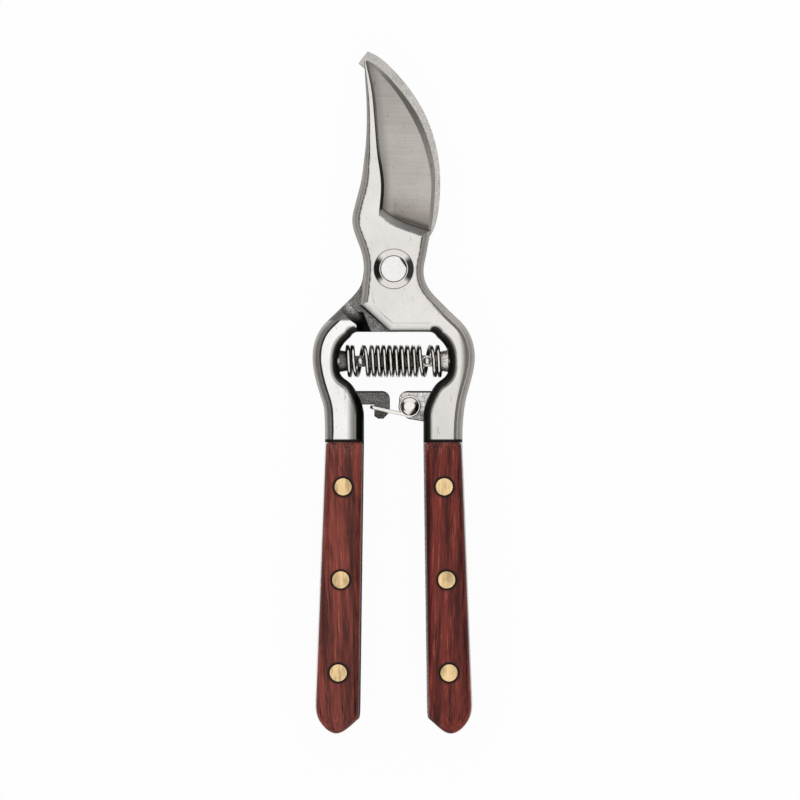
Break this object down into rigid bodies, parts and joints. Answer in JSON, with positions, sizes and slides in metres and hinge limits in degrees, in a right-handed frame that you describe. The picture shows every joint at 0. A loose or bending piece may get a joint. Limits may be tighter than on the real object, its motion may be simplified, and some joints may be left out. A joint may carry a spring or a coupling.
{
  "type": "bypass pruner",
  "caption": "One-hand bypass pruner: forged blade and hook crossing at a bolt, wooden handle scales with brass rivets, coil spring on swivels, wire catch.",
  "frame": {"origin": "on the pivot bolt's axis, at the level of the backs of the wooden scales, which the tool lies on", "axes": "+Y along the tool to the blade's tip, +X to the right seen from the front, +Z out of the front; the blade half's handle is at +X"},
  "size_m": [0.0508, 0.2137, 0.016],
  "materials": {
    "forged_steel": "polished flats with satin, darker forged edges",
    "bright_steel": "bright plated",
    "spring_wire": "dark drawn wire",
    "catch_steel": "bright wire",
    "rosewood": "oiled, semi-gloss, dark straight grain",
    "brass": "brushed flush"
  },
  "bodies": {
    "hook_half": {"hook_half_forging": "forged_steel", "left_front_scale": "rosewood", "left_back_scale": "rosewood", "left_handle_rivet_1": "brass", "left_handle_rivet_2": "brass", "left_handle_rivet_3": "brass", "pivot_bolt": "bright_steel", "pivot_washer": "bright_steel", "pivot_collar": "bright_steel", "left_swivel_pin": "bright_steel"},
    "blade_half": {"blade_half_forging": "forged_steel", "right_front_scale": "rosewood", "right_back_scale": "rosewood", "right_handle_rivet_1": "brass", "right_handle_rivet_2": "brass", "right_handle_rivet_3": "brass", "right_swivel_pin": "bright_steel", "catch_rivet": "bright_steel", "catch_washer": "bright_steel"},
    "left_swivel": {"left_swivel_finger": "forged_steel", "coil_spring": "spring_wire"},
    "right_swivel": {"right_swivel_finger": "forged_steel"},
    "catch": {"catch_wire": "catch_steel"}
  },
  "joints": [
    {"name": "handles", "type": "hinge", "parent": "hook_half", "child": "blade_half", "pos_m": [0, 0, 0.008], "axis": [0, 0, 1], "range_deg": [-1.5, 34]},
    {"name": "left_finger_swivel", "type": "hinge", "parent": "hook_half", "child": "left_swivel", "pos_m": [-0.01047, -0.02875, 0.008], "axis": [0, 0, 1], "range_deg": [-0.8, 17.2]},
    {"name": "spring_stretch", "type": "slide", "parent": "left_swivel", "child": "right_swivel", "axis": [1, 0, 0], "range_m": [-0.0008, 0.0163], "deforming": ["coil_spring"]},
    {"name": "catch_swing", "type": "hinge", "parent": "blade_half", "child": "catch", "pos_m": [0.005, -0.0429, 0.008], "axis": [0, 0, 1], "range_deg": [0, 75], "deforming": ["catch_wire"]}
  ],
  "couplings": [
    {"joint": "left_finger_swivel", "follows": "handles", "ratio": 0.5},
    {"joint": "spring_stretch", "follows": "handles", "m_per_rad": 0.0271}
  ]
}
